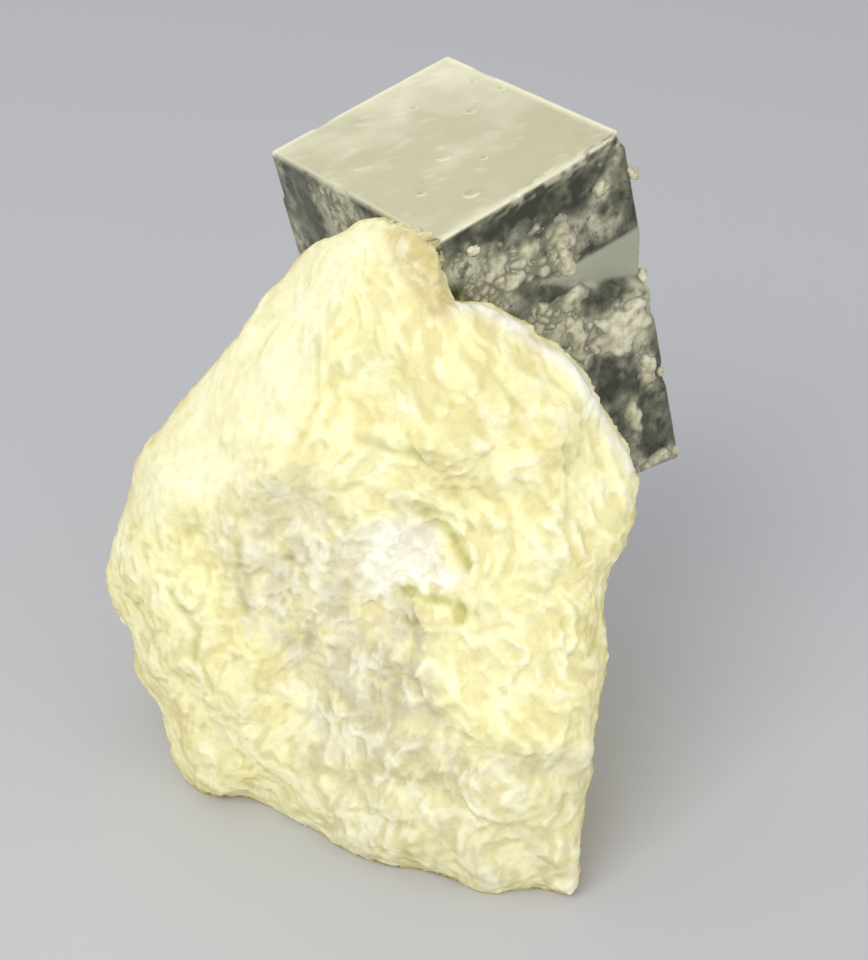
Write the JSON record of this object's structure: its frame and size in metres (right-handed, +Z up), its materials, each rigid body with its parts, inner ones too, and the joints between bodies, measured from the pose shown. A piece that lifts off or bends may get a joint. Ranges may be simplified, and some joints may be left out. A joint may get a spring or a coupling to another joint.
{
  "type": "pyrite cube on matrix",
  "caption": "Mineral specimen: a blocky brassy pyrite crystal with a flat top and growth steps, set behind and above a broken wedge of cream marl that stands on a flat base.",
  "frame": {"origin": "on the flat base of the stone, under the front of the marl; the rest face mount is there", "axes": "+Z up, away from the base; +X to the right of the marl's front face; +Y from the marl's front to the crystal behind it"},
  "size_m": [0.0528, 0.0523, 0.0609],
  "materials": {
    "marl": "rough, broken, earthy marl with a yellow rind and a grey-white core",
    "pyrite": "flat pale brassy crystal faces, darker and tarnished on the sides"
  },
  "bodies": {
    "root": {"matrix": "marl", "pyrite_cube": "pyrite"}
  },
  "joints": []
}
